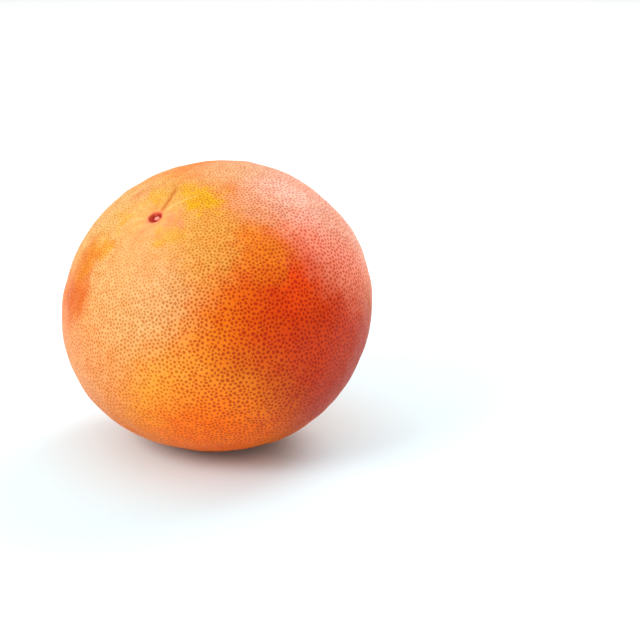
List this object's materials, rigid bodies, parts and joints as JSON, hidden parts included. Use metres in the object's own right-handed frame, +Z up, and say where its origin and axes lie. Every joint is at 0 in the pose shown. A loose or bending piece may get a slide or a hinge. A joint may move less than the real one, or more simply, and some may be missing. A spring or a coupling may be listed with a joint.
{
  "type": "grapefruit",
  "caption": "Whole grapefruit, slightly flattened, with a round stalk scar in a shallow dimple and a small flat spot to rest on.",
  "frame": {"origin": "on the flat resting spot, under the middle of the fruit's bounding box", "axes": "+Z up from the resting spot, +X to the viewer's right, -Y towards the viewer; the stalk end leans 37 degrees from +Z, towards -X and -Y"},
  "size_m": [0.111, 0.111, 0.0997],
  "materials": {
    "rind": "waxy citrus rind, orange with a red blush, finely pored, satin"
  },
  "bodies": {
    "root": {"grapefruit": "rind"}
  },
  "joints": []
}
